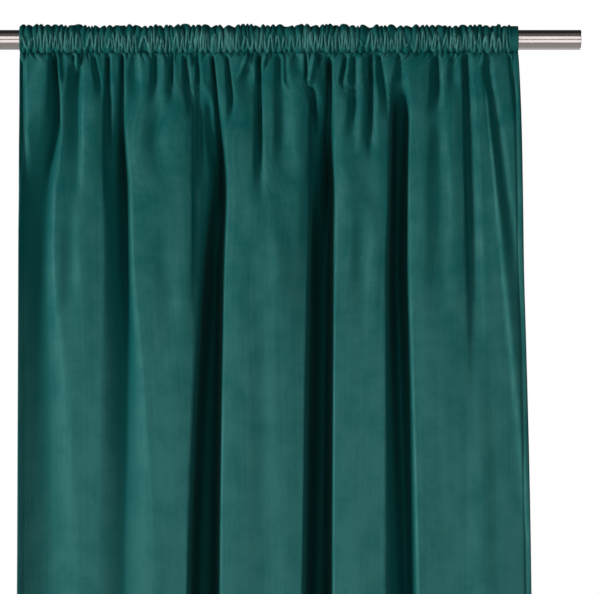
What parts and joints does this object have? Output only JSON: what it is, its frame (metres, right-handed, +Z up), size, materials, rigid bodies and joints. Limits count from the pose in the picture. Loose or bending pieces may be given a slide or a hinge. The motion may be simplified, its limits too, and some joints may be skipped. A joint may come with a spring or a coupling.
{
  "type": "rod pocket velvet curtain on a curtain rod",
  "caption": "Floor-length velvet curtain with a rod pocket, gathered tightly on a round steel curtain rod and hanging in deep uneven folds.",
  "frame": {"origin": "on the rod's axis, halfway along it, which is what the wall brackets hold", "axes": "+X along the rod, to the right as seen from the room; -Y towards the room, so the curtain's face looks along -Y; +Z up"},
  "size_m": [0.8914, 0.1041, 2.2501],
  "materials": {
    "steel": "polished round tube with drawn lines along it",
    "velvet": "short dense pile with a soft sheen"
  },
  "bodies": {
    "root": {"rod": "steel", "curtain": "velvet"}
  },
  "joints": []
}
